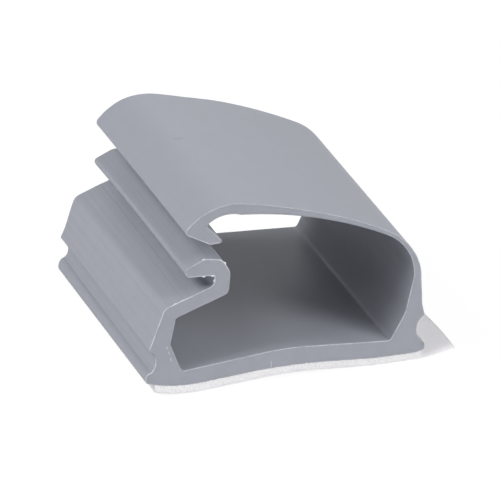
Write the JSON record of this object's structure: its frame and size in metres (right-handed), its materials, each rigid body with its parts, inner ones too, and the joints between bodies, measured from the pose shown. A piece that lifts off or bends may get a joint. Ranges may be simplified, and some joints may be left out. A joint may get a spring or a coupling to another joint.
{
  "type": "adhesive latching cable clip",
  "caption": "Extruded grey plastic cable clip with a bowed base, a stiff catch, a thin flexing arm with a hook, and a foam adhesive pad with a pull-tab liner.",
  "frame": {"origin": "middle of the whole clip, level with the underside of the release liner", "axes": "+Z away from the mounting surface, +X from the open mouth and catch towards the hinge side and the pull tab, Y along the cable"},
  "size_m": [0.0292, 0.0254, 0.0179],
  "materials": {
    "grey_plastic": "satin extruded, sawn ends",
    "white_foam": "fine closed-cell foam",
    "liner_paper": "smooth coated paper"
  },
  "bodies": {
    "root": {"clip_body": "grey_plastic", "foam_tape": "white_foam", "release_liner": "liner_paper"}
  },
  "joints": []
}
